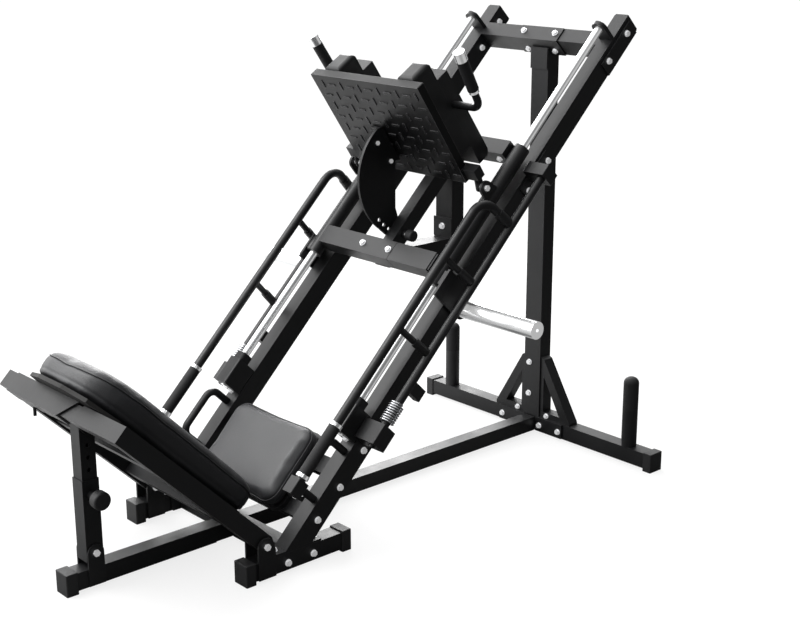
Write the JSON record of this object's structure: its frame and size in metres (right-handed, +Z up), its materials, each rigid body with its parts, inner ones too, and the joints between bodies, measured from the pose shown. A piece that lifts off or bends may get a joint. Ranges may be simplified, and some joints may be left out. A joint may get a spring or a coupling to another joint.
{
  "type": "hack squat and leg press machine",
  "caption": "Plate-loaded hack squat and leg press frame with an inclined sliding sled, tilting footplate, reclining backrest and swing-out safety levers.",
  "frame": {"origin": "centre line on the floor under the front foot cap, at the head end", "axes": "+X from the head end towards the rear upright, +Y to the seated user's left, +Z up"},
  "size_m": [1.8958, 1.2, 1.4058],
  "materials": {
    "powder_black": "satin",
    "zinc_bolt": "satin",
    "chrome": "gloss",
    "vinyl_black": "satin",
    "plastic_black": "matte",
    "rubber_black": "matte",
    "board_black": "matte"
  },
  "bodies": {
    "frame": {"front_beam": "powder_black", "rear_beam": "powder_black", "front_cross_tube": "powder_black", "side_feet": "powder_black", "rear_cross_base": "powder_black", "end_caps": "plastic_black", "pivot_ears": "powder_black", "upright": "powder_black", "upright_gussets": "powder_black", "flange_plates": "powder_black", "storage_pegs": "powder_black", "peg_sleeves": "rubber_black", "rails": "powder_black", "top_crossbeam": "powder_black", "guide_rods": "chrome", "rod_holders": "powder_black", "rod_bumpers": "rubber_black", "seat_frame": "powder_black", "seat_pad": "vinyl_black", "seat_handles": "powder_black", "lever_blocks": "powder_black", "frame_bolts": "zinc_bolt", "pivot_bolts": "zinc_bolt"},
    "sled": {"sled_bearings": "powder_black", "sled_crossbeams": "powder_black", "sled_centre_tubes": "powder_black", "sled_brackets": "powder_black", "horn_plates": "powder_black", "loading_sleeves": "chrome", "tilt_ears": "powder_black", "sled_bolts": "zinc_bolt"},
    "footplate": {"tread_plate": "powder_black", "footplate_frame": "powder_black", "footplate_arms": "powder_black", "hinge_bar": "powder_black", "sector_plate": "powder_black", "footplate_bolts": "zinc_bolt", "handle_tubes": "powder_black", "handle_grips": "rubber_black", "handle_ferrules": "chrome"},
    "tilt_lock": {"tilt_pin": "chrome", "tilt_pin_knob": "plastic_black"},
    "right_lever": {"right_lever_frame": "powder_black", "right_lever_grip": "rubber_black", "right_lever_ferrules": "chrome", "right_lever_spring": "chrome"},
    "left_lever": {"left_lever_frame": "powder_black", "left_lever_grip": "rubber_black", "left_lever_ferrules": "chrome", "left_lever_spring": "chrome"},
    "backrest": {"backrest_frame": "powder_black", "head_tube": "powder_black", "head_sleeve": "powder_black", "back_board": "board_black", "back_pad": "vinyl_black"},
    "head_lock": {"head_pin": "powder_black"},
    "post": {"post_sleeve": "powder_black"},
    "post_slide_tube": {"post_inner": "powder_black"},
    "post_lock": {"post_pin": "chrome", "post_pin_knob": "plastic_black"}
  },
  "joints": [
    {"name": "sled_slide", "type": "slide", "parent": "frame", "child": "sled", "axis": [0.7071, 0, 0.7071], "range_m": [-0.24, 0.33]},
    {"name": "footplate_tilt", "type": "hinge", "parent": "sled", "child": "footplate", "pos_m": [1.251, 0, 0.952], "axis": [0, -1, 0], "range_deg": [0, 23.1]},
    {"name": "tilt_pin_push", "type": "slide", "parent": "sled", "child": "tilt_lock", "axis": [0, -1, 0], "range_m": [-0.012, 0.004]},
    {"name": "right_lever_turn", "type": "hinge", "parent": "frame", "child": "right_lever", "pos_m": [0.92973, -0.352, 0.48449], "axis": [0.7071, 0, 0.7071], "range_deg": [0, 55]},
    {"name": "left_lever_turn", "type": "hinge", "parent": "frame", "child": "left_lever", "pos_m": [0.92973, 0.352, 0.48449], "axis": [-0.7071, 0, -0.7071], "range_deg": [0, 55]},
    {"name": "backrest_recline", "type": "hinge", "parent": "frame", "child": "backrest", "pos_m": [0.439, 0, 0.1], "axis": [0, -1, 0], "range_deg": [0, 17.5]},
    {"name": "head_pin_pull", "type": "slide", "parent": "backrest", "child": "head_lock", "axis": [0, 1, 0], "range_m": [0, 0.03]},
    {"name": "post_tilt", "type": "hinge", "parent": "frame", "child": "post", "pos_m": [0.087, 0, 0.101], "axis": [0, -1, 0], "range_deg": [0, 21]},
    {"name": "post_extend", "type": "slide", "parent": "post", "child": "post_slide_tube", "axis": [0, 0, 1], "range_m": [-0.106, 0]},
    {"name": "post_pin_push", "type": "slide", "parent": "post", "child": "post_lock", "axis": [0, -1, 0], "range_m": [-0.01, 0.006]}
  ],
  "couplings": [
    {"joint": "post_tilt", "follows": "backrest_recline", "ratio": 1.187},
    {"joint": "post_extend", "follows": "backrest_recline", "m_per_rad": -0.34}
  ]
}
